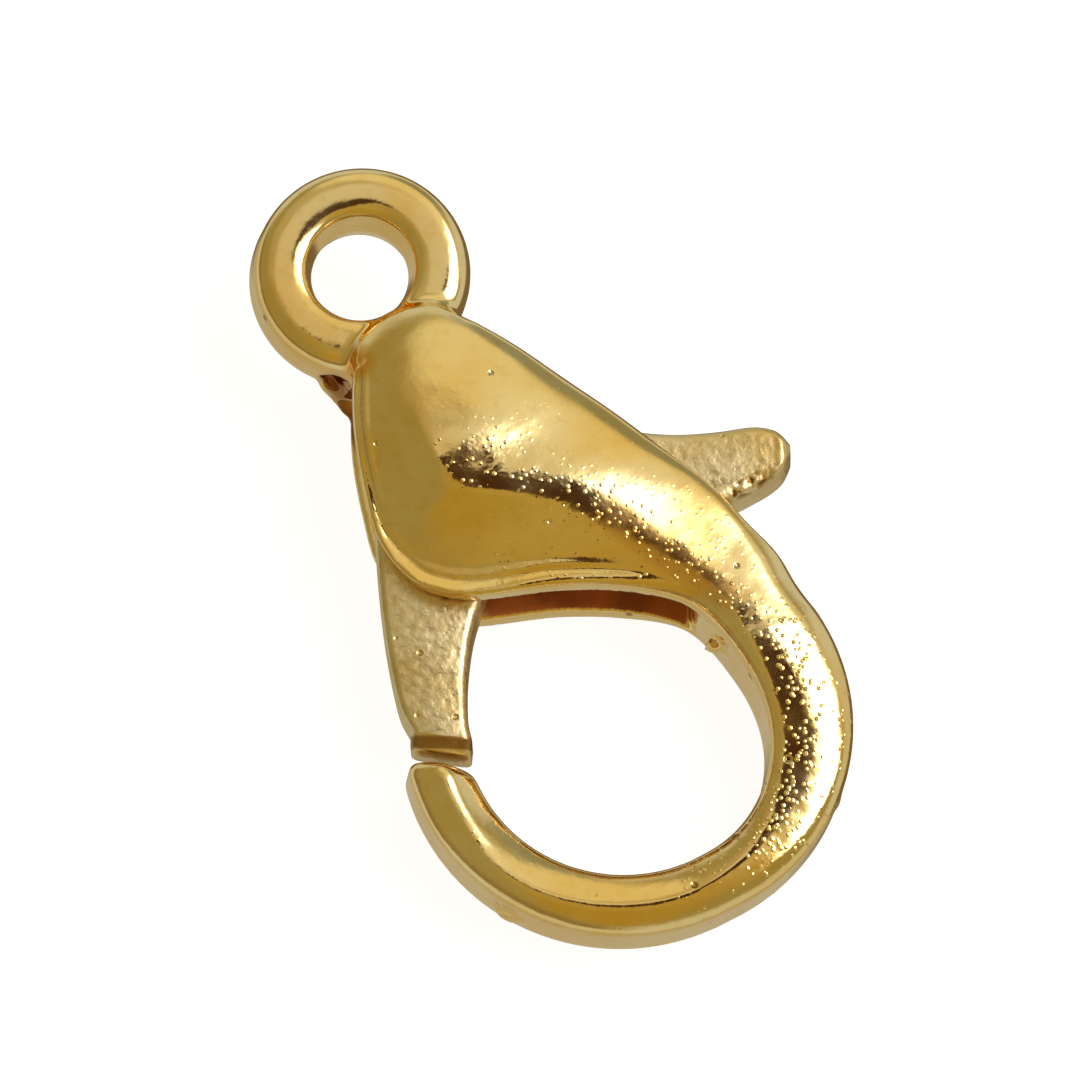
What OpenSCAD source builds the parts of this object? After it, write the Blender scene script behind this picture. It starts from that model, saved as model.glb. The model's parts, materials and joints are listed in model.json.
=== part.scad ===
// Lobster clasp: a cast body with an eye ring, two domed cheeks and a hook, and a sprung gate lever.
// The clasp is drawn flat in the XY plane, ring upwards, and laid down on its domes by at_rest().
// Z is the direction through the clasp, and the origin is the middle of the eye.

/* [Eye ring] */
// Outside diameter of the ring that the chain is fastened to
eye_d = 3.5; // [3.3:0.05:3.8]
// Bore of the ring
eye_bore = 1.65; // [1.5:0.05:1.8]
// Thickness of the ring
eye_t = 1.35; // [1.2:0.05:1.6]
// Rounding of the ring's outer edges
eye_round = 0.5; // [0.2:0.05:0.55]
// Chamfer at each end of the bore
eye_chamfer = 0.15; // [0.05:0.01:0.2]

/* [Hook] */
// From the middle of the eye down to the middle of the hook's loop
reach = 8.55; // [8.2:0.05:9.4]
// Outside width of the hook's loop
loop_w = 7.05; // [6.75:0.05:7.65]
// How far the loop's lower back corner stands out past a true circle
loop_hip = 0.12; // [0:0.02:0.2]
// Width of the hook's bar where it leaves the head
bar_root_w = 1.5; // [1.3:0.05:1.7]
// Width of the hook's bar round its free side
bar_w = 1; // [0.9:0.05:1.2]
// Thickness of the hook's bar round its free side
bar_t = 1.7; // [1.5:0.05:1.9]
// Height of the bar's straight side walls
bar_side_h = 0.76; // [0.4:0.02:1]
// Angle round the loop from its back to the tip's inner corner
tip_deg = 191; // [186:1:197]
// Slant of the tip, further round at its outer corner
tip_slant_deg = 8; // [2:1:10]

/* [Head] */
// Breadth of the domed head
head_w = 4.2; // [4:0.05:4.6]
// Thickness over the crowns of the two domes
head_t = 3; // [2.8:0.05:3.3]
// Thickness over the rims of the two cheeks
rim_t = 1.8; // [1.7:0.05:2.2]
// Width of the slot between the cheeks
slot_w = 1.28; // [1.16:0.02:1.4]
// Metal left between the slot and the eye ring
slot_neck = 0.12; // [0.05:0.01:0.2]
// Height of the slot's floor above the loop's middle, at the back
slot_floor_back = 2.02; // [1.9:0.02:2.1]
// Height of the slot's floor above the loop's middle, at the opening
slot_floor_front = 0.8; // [0.7:0.05:1]

/* [Gate lever] */
// Side play between the lever and each cheek
lever_play = 0.11; // [0.06:0.01:0.15]
// Width of the gate at its end
gate_w = 0.98; // [0.88:0.02:1.08]
// Gap between the gate's end and the hook's tip
gate_gap = 0.12; // [0.08:0.01:0.2]
// Diameter of the lever's hub
hub_d = 2.7; // [2.4:0.05:2.8]
// From the pivot to the end of the thumb tab
tab_len = 5.35; // [5.05:0.05:5.75]
// Width of the thumb tab near its end
tab_w = 0.9; // [0.75:0.05:1]
// Angle of the thumb tab below the level of the pivot
tab_deg = 25.8; // [25:0.2:27]
// Chamfer along the lever's edges
lever_chamfer = 0.12; // [0.05:0.01:0.2]

/* [Pivot] */
// Pivot's distance from the clasp's middle line, towards the gate
pivot_out = 0.3; // [0.2:0.05:0.4]
// Pivot's distance below the middle of the eye
pivot_down = 3.6; // [3.5:0.05:3.7]
// Diameter of the pivot pin
pin_d = 0.9; // [0.7:0.05:1.1]
// Depth of the pin's seat in each cheek
pin_seat = 0.45; // [0.3:0.05:0.55]
// Radial play of the lever on the pin
pin_play = 0.04; // [0.03:0.01:0.06]
// Gap between the pin and its seats
seat_gap = 0.02; // [0.01:0.01:0.03]

/* [Spring] */
// Thickness of the leaf spring's strip
leaf_t = 0.12; // [0.1:0.01:0.15]
// Width of the leaf spring's strip
leaf_w = 0.9; // [0.7:0.05:1.05]
// Length of each leg of the leaf spring
leaf_leg = 1.1; // [0.9:0.05:1.2]
// Gap between the leaf spring and what it bears on
leaf_gap = 0.05; // [0.03:0.01:0.1]

/* [Rest] */
// How far the clasp tips towards its hook as it lies
rest_pitch = 4.6; // [0:0.1:7]
// How far the clasp rolls towards its thumb tab as it lies
rest_roll = 0.8; // [-3:0.1:3]

/* [Hidden] */
$fn = 64;

GOLD = [0.83, 0.64, 0.27];
PALE_GOLD = [0.87, 0.74, 0.42];
STEEL = [0.62, 0.6, 0.56];

eye_r = eye_d / 2;
loop_r = loop_w / 2;
root_inner_r = loop_r - bar_root_w;
pivot = [-pivot_out, -pivot_down];
lever_t = slot_w - 2 * lever_play;
far = 2 * head_w;

// Points along half of a section, and stations between two rows of a table
PROFILE_STEPS = 10;
HEAD_STEPS = 2;
HOOK_STEPS = 4;
LEVER_STEPS = 3;
// Over this angle the hook's bar narrows from its root width
TAPER_DEG = 95;
// Rounding of a crest between two straight flanks, as a share of a flank's width
CREST = 0.13;

// The head from the ring down to the loop's middle, as shares:
// down, of reach
// left_head and right_head, of head_w
// left_hook, of the loop's inner radius, and right_hook, of its outer radius
// ridge, of the section's width from its left edge
// swell, from the bar's thickness at 0 to the head's at 1
// rim, from the bar's side walls at 0 to the cheeks' rims at 1
// full_left and full_right, how full the section is beside its ridge: 1 is straight, 2 an ellipse
HEAD = [
    [0.125, 0.060, 0.00, 0.085, 0.00, 0.50, -0.20, 0.20, 2.0, 2.0],
    [0.138, 0.150, 0.00, 0.165, 0.00, 0.49, 0.02, 0.50, 2.0, 2.0],
    [0.160, 0.210, 0.00, 0.215, 0.00, 0.48, 0.24, 0.75, 2.0, 2.0],
    [0.195, 0.258, 0.00, 0.258, 0.00, 0.46, 0.45, 0.95, 2.0, 2.0],
    [0.281, 0.348, 0.00, 0.350, 0.00, 0.43, 0.80, 1.00, 1.70, 2.0],
    [0.387, 0.424, 0.00, 0.430, 0.03, 0.41, 1.00, 1.00, 1.35, 2.0],
    [0.481, 0.472, 0.00, 0.430, 0.14, 0.51, 0.96, 1.00, 1.15, 2.0],
    [0.563, 0.457, 0.00, 0.390, 0.27, 0.62, 0.84, 1.00, 1.15, 2.0],
    [0.621, 0.400, 0.01, 0.320, 0.41, 0.67, 0.73, 1.00, 1.15, 2.0],
    [0.674, 0.290, 0.07, 0.240, 0.56, 0.67, 0.63, 1.00, 1.20, 2.0],
    [0.733, 0.075, 0.22, 0.150, 0.71, 0.62, 0.52, 1.00, 1.40, 2.0],
    [0.797, 0.000, 0.52, 0.080, 0.83, 0.56, 0.42, 0.90, 1.80, 2.0],
    [0.868, 0.000, 0.85, 0.020, 0.95, 0.48, 0.33, 0.60, 2.4, 2.0],
    [0.938, 0.000, 0.96, 0.000, 0.98, 0.42, 0.27, 0.25, 2.6, 2.0],
    [1.000, 0.000, 1.00, 0.000, 1.00, 0.39, 0.22, 0.00, 2.7, 2.0],
];

// The hook from the loop's middle round to the tip: the share of the way, and then ridge, of the bar's width from
// its inner edge, swell, and how full the section is inside and outside the ridge
HOOK = [
    [0.00, 0.39, 0.22, 2.7, 2.0],
    [0.17, 0.41, 0.12, 2.6, 2.0],
    [0.33, 0.50, 0.04, 1.9, 1.7],
    [0.50, 0.56, 0.00, 1.3, 1.5],
    [0.67, 0.56, 0.00, 1.2, 1.4],
    [0.83, 0.56, 0.00, 1.2, 1.4],
    [1.00, 0.56, 0.00, 1.2, 1.4],
];

// Corners of the slot's floor: across, as shares of the loop's inner radius at its root,
// and down, from the floor's height at the back at 0 to its height at the opening at 1
SLOT_FLOOR = [[1.74, 0], [0.75, 1], [0.55, 1], [-0.5, 0]];

// Each row of the next three tables is a station along the lever, its inner edge first and then its outer edge.
// The gate, from its end to the hub: along and across its own line, as shares of its length and its width
GATE = [
    [[0.88, -0.42], [0.84, 0.72]],
    [[0.74, -0.37], [0.66, 0.95]],
    [[0.58, -0.42], [0.48, 1.11]],
    [[0.44, -0.58], [0.3, 1.22]],
];
// The hub, from the gate to the tab: an angle, and the distance from the pivot as a share of the hub's diameter
HUB = [
    [[-99.5, 0.68], [150, 0.5]],
    [[-91, 0.61], [125, 0.5]],
    [[-80.5, 0.565], [100, 0.5]],
    [[-67, 0.555], [75, 0.5]],
    [[-55.5, 0.64], [50, 0.5]],
];
// The thumb tab, from the hub to its tip: along and across its own line, as shares of its length and its width
TAB = [
    [[0.37, -0.88], [0.43, 0.62]],
    [[0.46, -0.88], [0.49, 0.54]],
    [[0.54, -0.89], [0.55, 0.45]],
    [[0.68, -0.95], [0.66, 0.36]],
    [[0.8, -0.95], [0.78, 0.36]],
    [[0.89, -0.74], [0.89, 0.41]],
    [[0.945, -0.56], [0.95, 0.34]],
    [[0.978, -0.38], [0.978, 0.22]],
    [[1, -0.14], [1, 0.06]],
];

function mix(a, b, share) = a + (b - a) * share;

// A smooth curve through rows of numbers, at a share t of the way from row i to the next
function curve_at(rows, i, t) =
    let (
        last = len(rows) - 1,
        before = rows[max(i - 1, 0)],
        start = rows[i],
        end = rows[min(i + 1, last)],
        after = rows[min(i + 2, last)]
    )
    0.5 * (2 * start + (end - before) * t + (2 * before - 5 * start + 4 * end - after) * t * t
        + (3 * start - before - 3 * end + after) * t * t * t);

function curve(rows, steps) =
    [for (i = [0 : len(rows) - 2], k = [0 : steps - 1]) curve_at(rows, i, k / steps), rows[len(rows) - 1]];

// Height of a crown, as a share, at a share of the way from its ridge to its edge
function dome(off, full) =
    full < 2
        ? mix(1 - (norm([off, CREST]) - CREST) / (norm([1, CREST]) - CREST), sqrt(1 - off * off), full - 1)
        : pow(1 - pow(off, full), 1 / full);

// One closed section across the metal from edge a to edge b, crowned between them on both faces
function section(a, b, ridge, crown, rim, full_left, full_right) =
    let (
        upper = [for (k = [0 : PROFILE_STEPS])
            let (
                off = abs(cos(180 * k / PROFILE_STEPS)),
                on_left = 2 * k < PROFILE_STEPS,
                share = on_left ? ridge * (1 - off) : mix(ridge, 1, off),
                p = mix(a, b, share)
            )
            [p.x, p.y, mix(rim, crown, dome(off, on_left ? full_left : full_right))]]
    )
    concat(upper, [for (k = [PROFILE_STEPS : -1 : 0]) [upper[k].x, upper[k].y, -upper[k].z]]);

function head_section(row) =
    let (
        y = -row[0] * reach,
        left = -row[1] * head_w + row[2] * root_inner_r,
        right = row[3] * head_w + row[4] * loop_r,
        crown = mix(bar_t, head_t, row[6]) / 2,
        rim = mix(bar_side_h, rim_t, row[7]) / 2
    )
    section([left, y], [right, y], row[5], crown, rim, row[8], row[9]);

// Places on the loop, at an angle measured clockwise from its back
function on_loop(r, deg) = [r * cos(deg), -reach - r * sin(deg)];
function loop_outer_r(deg) = loop_r + loop_hip * (deg < 90 ? sin(2 * deg) : 0);
function bar_width(deg) = mix(bar_w, bar_root_w, deg < TAPER_DEG ? (1 + cos(180 * deg / TAPER_DEG)) / 2 : 0);
function loop_inner_r(deg) = loop_outer_r(deg) - bar_width(deg);

function hook_section(row) =
    let (
        inner_deg = row[0] * tip_deg,
        outer_deg = row[0] * (tip_deg + tip_slant_deg),
        crown = mix(bar_t, head_t, row[2]) / 2
    )
    section(on_loop(loop_inner_r(inner_deg), inner_deg), on_loop(loop_outer_r(outer_deg), outer_deg),
        row[1], crown, bar_side_h / 2, row[3], row[4]);

// A closed skin over a list of sections with as many points each, which turn clockwise seen from the last one
module loft(sections) {
    n = len(sections[0]);
    rows = len(sections);
    sides = [for (i = [0 : rows - 2], k = [0 : n - 1])
        let (a = i * n + k, b = i * n + (k + 1) % n)
        each [[a, b + n, a + n], [a, b, b + n]]];
    start = [for (k = [n - 1 : -1 : 0]) k];
    end = [for (k = [0 : n - 1]) (rows - 1) * n + k];
    polyhedron([for (s = sections) each s], concat(sides, [start], [end]));
}

module claw() {
    hook_rows = curve(HOOK, HOOK_STEPS);
    loft(concat(
        [for (row = curve(HEAD, HEAD_STEPS)) head_section(row)],
        [for (i = [1 : len(hook_rows) - 1]) hook_section(hook_rows[i])]
    ));
}

module eye_ring() {
    flat_r = eye_r - eye_round;
    core_r = eye_bore / 4;
    rotate_extrude() {
        translate([core_r, -eye_t / 2])
            square([flat_r - core_r, eye_t]);
        translate([core_r, eye_round - eye_t / 2])
            square([eye_r - core_r, eye_t - 2 * eye_round]);
        for (side = [-1, 1])
            translate([flat_r, side * (eye_t / 2 - eye_round)])
                circle(eye_round);
    }
}

module eye_hole() {
    cylinder(d = eye_bore, h = far, center = true);
    for (side = [-1, 1])
        scale([1, 1, side])
            translate([0, 0, eye_t / 2 - eye_chamfer])
                cylinder(d1 = eye_bore, d2 = eye_bore + 4 * eye_chamfer, h = 2 * eye_chamfer);
}

// Open towards the gate, the loop and the back, and closed at the ring and at the hook's root
module slot() {
    floor_back = slot_floor_back - reach;
    floor_front = slot_floor_front - reach;
    floor = [for (p = SLOT_FLOOR) [p.x * root_inner_r, mix(floor_back, floor_front, p.y)]];
    linear_extrude(slot_w, center = true)
        difference() {
            polygon(concat([[-far, 0], [far, 0], [far, floor_back]], floor, [[-far, floor_back]]));
            circle(eye_r + slot_neck);
        }
}

module pin_seats() {
    translate(pivot)
        cylinder(d = pin_d + 2 * seat_gap, h = slot_w + 2 * pin_seat, center = true);
}

module at_rest() {
    rotate([rest_pitch, rest_roll, 0])
        children();
}

module body() {
    color(GOLD)
        at_rest()
            difference() {
                union() {
                    claw();
                    eye_ring();
                }
                eye_hole();
                slot();
                pin_seats();
            }
}

// The gate's own line runs from the pivot to a gap short of the middle of the hook's tip
tip_outer = on_loop(loop_outer_r(tip_deg + tip_slant_deg), tip_deg + tip_slant_deg);
tip_inner = on_loop(loop_inner_r(tip_deg), tip_deg);
tip_line = (tip_inner - tip_outer) / norm(tip_inner - tip_outer);
tip_normal = [-tip_line.y, tip_line.x];
gate_end = (tip_outer + tip_inner) / 2 + gate_gap * tip_normal;
gate_len = norm(gate_end - pivot);
gate_dir = (gate_end - pivot) / gate_len;
tab_dir = [cos(tab_deg), -sin(tab_deg)];

function left_of(dir) = [-dir.y, dir.x];
function on_gate_end(side, back) = gate_end - gate_dir * back - tip_line * (side * gate_w / 2);
function on_gate(p) = pivot + gate_dir * (p.x * gate_len) - left_of(gate_dir) * (p.y * gate_w);
function on_hub(p) = pivot + p.y * hub_d * [cos(p.x), sin(p.x)];
function on_tab(p) = pivot + tab_dir * (p.x * tab_len) + left_of(tab_dir) * (p.y * tab_w);

// The lever's stations, each as the places of its inner and its outer edge in one row of four numbers
lever_rows = [
    for (back = [0, lever_chamfer]) concat(on_gate_end(-1, back), on_gate_end(1, back)),
    for (row = GATE) concat(on_gate(row[0]), on_gate(row[1])),
    for (row = HUB) concat(on_hub(row[0]), on_hub(row[1])),
    for (row = TAB) concat(on_tab(row[0]), on_tab(row[1])),
];

// One section across the lever, chamfered along both edges
function plate_section(row, half_t) =
    let (
        inner = [row[0], row[1]],
        outer = [row[2], row[3]],
        width = norm(outer - inner),
        chamfer = min(lever_chamfer, width / 3),
        in = (outer - inner) * (chamfer / width),
        upper = [
            [inner.x, inner.y, half_t - chamfer], [inner.x + in.x, inner.y + in.y, half_t],
            [outer.x - in.x, outer.y - in.y, half_t], [outer.x, outer.y, half_t - chamfer],
        ]
    )
    concat(upper, [for (k = [3 : -1 : 0]) [upper[k].x, upper[k].y, -upper[k].z]]);

module lever() {
    last = len(lever_rows) - 1;
    flat_rows = curve([for (i = [1 : last - 1]) lever_rows[i]], LEVER_STEPS);
    end_half_t = lever_t / 2 - lever_chamfer;
    color(PALE_GOLD)
        at_rest()
            difference() {
                loft(concat(
                    [plate_section(lever_rows[0], end_half_t)],
                    [for (row = flat_rows) plate_section(row, lever_t / 2)],
                    [plate_section(lever_rows[last], end_half_t)]
                ));
                translate(pivot)
                    cylinder(d = pin_d + 2 * pin_play, h = far, center = true);
            }
}

module pivot_pin() {
    color(STEEL)
        at_rest()
            translate(pivot)
                cylinder(d = pin_d, h = slot_w + 2 * pin_seat - 2 * seat_gap, center = true);
}

// A bent strip between the neck and the lever's shoulder, which pushes the gate shut
module leaf_spring() {
    bend = [0, -eye_r - slot_neck - leaf_gap - leaf_t];
    upper_deg = 14;
    lower_deg = -31;
    color(STEEL)
        at_rest()
            translate(bend)
                linear_extrude(leaf_w, center = true) {
                    circle(leaf_t);
                    for (deg = [upper_deg, lower_deg])
                        rotate(deg)
                            translate([0, -leaf_t / 2])
                                square([leaf_leg, leaf_t]);
                }
}

body();
lever();
pivot_pin();
leaf_spring();
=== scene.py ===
import json
import math

import bpy
from mathutils import Euler, Matrix, Vector
from mathutils.kdtree import KDTree


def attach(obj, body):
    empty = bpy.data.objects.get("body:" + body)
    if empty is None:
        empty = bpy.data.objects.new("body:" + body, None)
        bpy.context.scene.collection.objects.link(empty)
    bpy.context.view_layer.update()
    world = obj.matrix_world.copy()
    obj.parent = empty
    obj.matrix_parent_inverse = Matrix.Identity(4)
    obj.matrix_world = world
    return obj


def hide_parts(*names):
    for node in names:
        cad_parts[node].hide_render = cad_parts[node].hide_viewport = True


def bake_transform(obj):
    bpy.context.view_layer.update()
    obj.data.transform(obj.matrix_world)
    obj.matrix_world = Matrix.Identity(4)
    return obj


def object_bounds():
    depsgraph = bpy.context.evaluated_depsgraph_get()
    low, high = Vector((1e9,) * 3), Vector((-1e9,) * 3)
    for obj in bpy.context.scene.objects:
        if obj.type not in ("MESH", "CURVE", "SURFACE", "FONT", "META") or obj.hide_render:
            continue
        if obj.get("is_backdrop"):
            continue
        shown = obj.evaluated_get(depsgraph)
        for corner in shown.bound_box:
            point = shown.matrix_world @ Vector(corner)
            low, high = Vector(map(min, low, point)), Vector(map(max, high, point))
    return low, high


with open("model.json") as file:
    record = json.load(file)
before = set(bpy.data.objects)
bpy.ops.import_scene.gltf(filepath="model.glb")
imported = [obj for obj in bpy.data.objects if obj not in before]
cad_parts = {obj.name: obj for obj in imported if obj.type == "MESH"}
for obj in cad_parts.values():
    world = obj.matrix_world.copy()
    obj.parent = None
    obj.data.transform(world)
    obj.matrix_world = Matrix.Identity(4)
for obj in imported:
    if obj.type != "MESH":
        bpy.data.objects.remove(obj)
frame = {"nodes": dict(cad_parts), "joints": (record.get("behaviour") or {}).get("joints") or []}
cad_low, cad_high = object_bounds()

# The cast body.
# One casting of zinc alloy, gold plated: the head's two domed cheeks and the hook are lofted from one row of
# sections, and the eye ring is turned and fused on. The slot, the bore and the pin's seats are cut after it.
EYE_D, EYE_BORE, EYE_T = 3.5, 1.65, 1.35
REACH, LOOP_W, LOOP_HIP = 8.55, 7.05, 0.12
BAR_ROOT_W, BAR_W, BAR_T, BAR_SIDE = 1.5, 1.0, 1.7, 0.76
TIP_DEG, TIP_SLANT_DEG, TAPER_DEG = 191, 8, 95
HEAD_W, HEAD_T, RIM_T, SLOT_W, SLOT_NECK = 4.2, 3.0, 1.8, 1.28, 0.12
SLOT_FLOOR_BACK, SLOT_FLOOR_FRONT = 2.02, 0.8
PIN_D, PIN_SEAT, SEAT_GAP = 0.9, 0.45, 0.02
LOOP_R = LOOP_W / 2
ROOT_INNER_R = LOOP_R - BAR_ROOT_W
# How blunt a roofed section's crest is, how far the hook's tip is rounded over, and how much it stays blunt
CREST = 0.12
TIP_ROUND, TIP_BLUNT = 0.26, 0.02
# Down the head, one row a station. The first three are shares of the reach, the head's width and the loop's inner
# radius, for its height and its left edge, and the next two of the head's width and the loop's outer radius, for its
# right edge. Then come the ridge's place across, the swell from the bar's thickness to the head's, and the rim from
# the bar's side walls to the cheeks'. The last four say how full and how roofed the section is, left and right.
HEAD = [
    [0.104, 0.110, 0.00, 0.110, 0.00, 0.50, -0.22, 0.20, 2.0, 0.0, 2.0, 0],
    [0.132, 0.190, 0.00, 0.185, 0.00, 0.49, 0.08, 0.55, 2.0, 0.0, 2.0, 0],
    [0.188, 0.250, 0.00, 0.245, 0.00, 0.45, 0.42, 0.90, 2.0, 0.1, 2.0, 0],
    [0.281, 0.348, 0.00, 0.350, 0.00, 0.39, 0.80, 1.00, 2.1, 0.3, 2.0, 0],
    [0.387, 0.424, 0.00, 0.430, 0.03, 0.34, 1.00, 0.85, 2.2, 0.8, 2.0, 0],
    [0.481, 0.472, 0.00, 0.430, 0.14, 0.35, 0.95, 0.80, 2.3, 0.9, 2.0, 0],
    [0.563, 0.457, 0.00, 0.390, 0.27, 0.53, 0.84, 0.85, 2.3, 0.9, 2.0, 0],
    [0.621, 0.400, 0.01, 0.320, 0.41, 0.60, 0.74, 0.95, 2.3, 0.9, 2.0, 0.05],
    [0.674, 0.290, 0.07, 0.240, 0.56, 0.60, 0.65, 1.00, 2.3, 0.8, 2.0, 0.12],
    [0.733, 0.075, 0.22, 0.150, 0.71, 0.51, 0.56, 1.00, 2.3, 0.6, 2.0, 0.15],
    [0.797, 0.000, 0.52, 0.080, 0.83, 0.43, 0.48, 0.90, 2.4, 0.3, 2.0, 0.12],
    [0.868, 0.000, 0.85, 0.020, 0.95, 0.34, 0.42, 0.60, 2.6, 0.1, 2.1, 0.05],
    [0.938, 0.000, 0.96, 0.000, 0.98, 0.28, 0.40, 0.35, 2.8, 0.1, 2.3, 0],
    [1.000, 0.000, 1.00, 0.000, 1.00, 0.20, 0.38, 0.25, 3.0, 0.1, 2.5, 0],
]
# Round the hook: the share of the way to the tip, the ridge's place across from the inner edge, the swell, the rim,
# and how full and how roofed the section is inside and outside the ridge.
HOOK = [
    [0.0, 0.20, 0.38, 0.25, 3.0, 0.10, 2.5, 0.0],
    [0.1, 0.13, 0.27, 0.22, 3.0, 0.10, 2.6, 0.0],
    [0.2, 0.13, 0.15, 0.19, 3.0, 0.10, 2.6, 0.0],
    [0.3, 0.20, 0.06, 0.18, 3.0, 0.15, 2.6, 0.1],
    [0.4, 0.42, 0.02, 0.17, 3.0, 0.35, 2.5, 0.3],
    [0.5, 0.56, 0.00, 0.16, 3.0, 0.45, 2.5, 0.4],
    [0.6, 0.59, 0.00, 0.16, 3.0, 0.45, 2.5, 0.4],
    [0.7, 0.65, 0.00, 0.16, 3.0, 0.45, 2.5, 0.4],
    [0.8, 0.66, 0.00, 0.16, 3.0, 0.60, 2.5, 0.4],
    [0.9, 0.50, 0.00, 0.16, 3.0, 0.70, 2.5, 0.4],
    [1.0, 0.45, 0.00, 0.16, 2.6, 0.60, 2.4, 0.3],
]
PROFILE_STEPS, HEAD_STEPS, HOOK_STEPS = 60, 8, 12


def mix(a, b, share):
    return a + (b - a) * share


def curve_through(rows, steps):
    """A smooth curve through rows of numbers, with so many steps from each row to the next."""
    last = len(rows) - 1
    curve = []
    for i in range(last):
        before, start, end, after = rows[max(i - 1, 0)], rows[i], rows[i + 1], rows[min(i + 2, last)]
        for k in range(steps):
            t = k / steps
            curve.append([
                0.5 * (2 * q + (r - p) * t + (2 * p - 5 * q + 4 * r - s) * t * t
                       + (3 * q - p - 3 * r + s) * t * t * t)
                for p, q, r, s in zip(before, start, end, after)
            ])
    return curve + [list(rows[-1])]


def crown_height(off, full, roof):
    """Height at a share of the way from the ridge to the edge, from an ellipse at full 2 to a box, and roofed."""
    slope = (math.hypot(off, CREST) - CREST) / (math.hypot(1, CREST) - CREST)
    return (1 - off ** full) ** (1 / full) * (1 - roof * slope)


def section(a, b, ridge, crown, rim, full_left, roof_left, full_right, roof_right):
    """One closed section from edge a to edge b, crowned on both faces."""
    upper = []
    for k in range(PROFILE_STEPS + 1):
        off = abs(math.cos(math.pi * k / PROFILE_STEPS))
        if 2 * k < PROFILE_STEPS:
            place, lift = a.lerp(b, ridge * (1 - off)), crown_height(off, full_left, roof_left)
        else:
            place, lift = a.lerp(b, mix(ridge, 1, off)), crown_height(off, full_right, roof_right)
        upper.append(Vector((place.x, place.y, mix(rim, crown, lift))))
    return upper + [Vector((p.x, p.y, -p.z)) for p in reversed(upper)]


def on_loop(r, deg):
    """A place round the loop, by the angle from its right side down and round to the hook's tip."""
    turn = math.radians(deg)
    return Vector((r * math.cos(turn), -REACH - r * math.sin(turn)))


def loop_outer_r(deg):
    """The loop's outer edge, a little fuller than a circle at its lower right."""
    return LOOP_R + (LOOP_HIP * math.sin(math.radians(2 * deg)) if deg < 90 else 0)


def loop_inner_r(deg):
    """The loop's inner edge: the bar tapers from its root to its own width."""
    taper = (1 + math.cos(math.pi * deg / TAPER_DEG)) / 2 if deg < TAPER_DEG else 0
    return loop_outer_r(deg) - mix(BAR_W, BAR_ROOT_W, taper)


sections = []
cheek_edge = []
for row in curve_through(HEAD, HEAD_STEPS):
    down, left_head, left_hook, right_head, right_hook, ridge, swell, rim = row[:8]
    left = Vector((-left_head * HEAD_W + left_hook * ROOT_INNER_R, -down * REACH))
    right = Vector((right_head * HEAD_W + right_hook * LOOP_R, -down * REACH))
    crown = mix(BAR_T, HEAD_T, swell) / 2
    sections.append(section(left, right, ridge, crown, mix(BAR_SIDE, RIM_T, rim) / 2, *row[8:]))
    cheek_edge.append(left)
for row in curve_through(HOOK, HOOK_STEPS)[1:]:
    way, ridge, swell, rim = row[:4]
    inner_deg = TIP_DEG * way
    outer_deg = (TIP_DEG + TIP_SLANT_DEG) * way
    a, b = on_loop(loop_inner_r(inner_deg), inner_deg), on_loop(loop_outer_r(outer_deg), outer_deg)
    # The tip is rounded over: its last sections shrink along a quarter circle
    to_tip = (1 - way) * math.radians(TIP_DEG) * (LOOP_R - BAR_W / 2)
    lost = (1 - math.sqrt(max(TIP_BLUNT, 1 - (1 - min(to_tip / TIP_ROUND, 1)) ** 2))) * TIP_ROUND
    inward = (b - a).normalized() * lost
    sections.append(section(
        a + inward, b - inward, ridge, mix(BAR_T, HEAD_T, swell) / 2 - lost,
        mix(BAR_SIDE, RIM_T, rim) / 2 - lost / 2, *row[4:]))


def pick(piece):
    bpy.ops.object.select_all(action="DESELECT")
    piece.select_set(True)
    bpy.context.view_layer.objects.active = piece


def edit(piece):
    """Opens one piece in edit mode with all of its mesh selected."""
    pick(piece)
    bpy.ops.object.mode_set(mode="EDIT")
    bpy.ops.mesh.select_all(action="SELECT")


def face_outwards():
    """Turns every face of the mesh outwards, and ends edit mode."""
    bpy.ops.mesh.select_all(action="SELECT")
    bpy.ops.mesh.normals_make_consistent(inside=False)
    bpy.ops.object.mode_set(mode="OBJECT")


def wrap(name, sections):
    """A sheet of faces wrapped round a row of closed sections, with both ends filled."""
    around, along = len(sections[0]), len(sections)
    bpy.ops.object.select_all(action="DESELECT")
    bpy.ops.mesh.primitive_grid_add(x_subdivisions=around, y_subdivisions=along - 1, size=1)
    piece = bpy.context.object
    piece.name = name
    for vertex in piece.data.vertices:
        row, place = divmod(vertex.index, around + 1)
        vertex.co = sections[row][place % around]
    edit(piece)
    bpy.ops.mesh.remove_doubles(threshold=1e-6)
    bpy.ops.mesh.select_all(action="DESELECT")
    bpy.ops.mesh.select_non_manifold()
    bpy.ops.mesh.fill_holes(sides=0)
    face_outwards()
    return piece


def add_modifier(piece, kind, **settings):
    """Adds a modifier and applies it."""
    pick(piece)
    modifier = piece.modifiers.new(kind.title(), kind)
    for name, value in settings.items():
        setattr(modifier, name, value)
    bpy.ops.object.modifier_apply(modifier=modifier.name)


def combine(piece, operation, tool):
    """Joins, cuts or trims a piece with a tool, and removes the tool."""
    add_modifier(piece, "BOOLEAN", operation=operation, object=tool, solver="MANIFOLD")
    bpy.data.objects.remove(tool)


ROUND_POINTS = 96


def cut_round(piece, radius, depth, place=(0, 0, 0), vertices=ROUND_POINTS):
    """Cuts a round hole in a piece, square to its flat faces."""
    bpy.ops.object.select_all(action="DESELECT")
    bpy.ops.mesh.primitive_cylinder_add(vertices=vertices, radius=radius, depth=depth, location=place)
    combine(piece, "DIFFERENCE", bpy.context.object)


def smooth(piece, passes, **settings):
    add_modifier(piece, "SMOOTH", factor=0.5, iterations=passes, **settings)


casting = wrap("casting", sections)

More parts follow.
